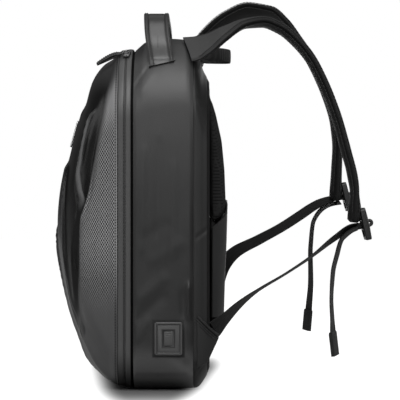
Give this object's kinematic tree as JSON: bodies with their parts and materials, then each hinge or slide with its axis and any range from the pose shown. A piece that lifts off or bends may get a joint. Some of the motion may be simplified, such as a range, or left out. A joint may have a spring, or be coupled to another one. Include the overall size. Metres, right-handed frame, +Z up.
{
  "type": "laptop backpack",
  "caption": "Hard-shell laptop backpack with a moulded front, wide top handle, padded shoulder straps and a charging port.",
  "frame": {"origin": "middle of the flat base, on the ground", "axes": "+Z up, +Y towards the wearer's back, +X towards the wearer's right"},
  "size_m": [0.31, 0.4263, 0.536],
  "materials": {
    "shell": "gloss",
    "coated": "satin",
    "zip": "matte",
    "strap": "matte",
    "mesh": "matte",
    "webbing": "matte",
    "handle": "satin",
    "plastic": "matte",
    "rubber": "matte",
    "badge": "satin"
  },
  "bodies": {
    "root": {"front_shell": "shell", "shell_rim": "coated", "main_zip": "zip", "zip_band": "coated", "expansion_zip": "zip", "main_body": "coated", "rear_band": "coated", "back_panel": "mesh", "back_pad_upper_right": "mesh", "back_pad_lower_right": "mesh", "anchor_tab_right": "coated", "shoulder_strap_right": "strap", "strap_webbing_right": "webbing", "strap_tail_right": "webbing", "strap_adjuster_right": "plastic", "adjuster_ring_right": "plastic", "back_pad_upper_left": "mesh", "back_pad_lower_left": "mesh", "anchor_tab_left": "coated", "shoulder_strap_left": "strap", "strap_webbing_left": "webbing", "strap_tail_left": "webbing", "strap_adjuster_left": "plastic", "adjuster_ring_left": "plastic", "luggage_sleeve": "coated", "carry_handle": "handle", "haul_loop": "webbing", "port_frame": "rubber", "port_flap": "rubber", "front_badge": "badge", "zip_slider": "badge", "zip_puller": "plastic"}
  },
  "joints": []
}
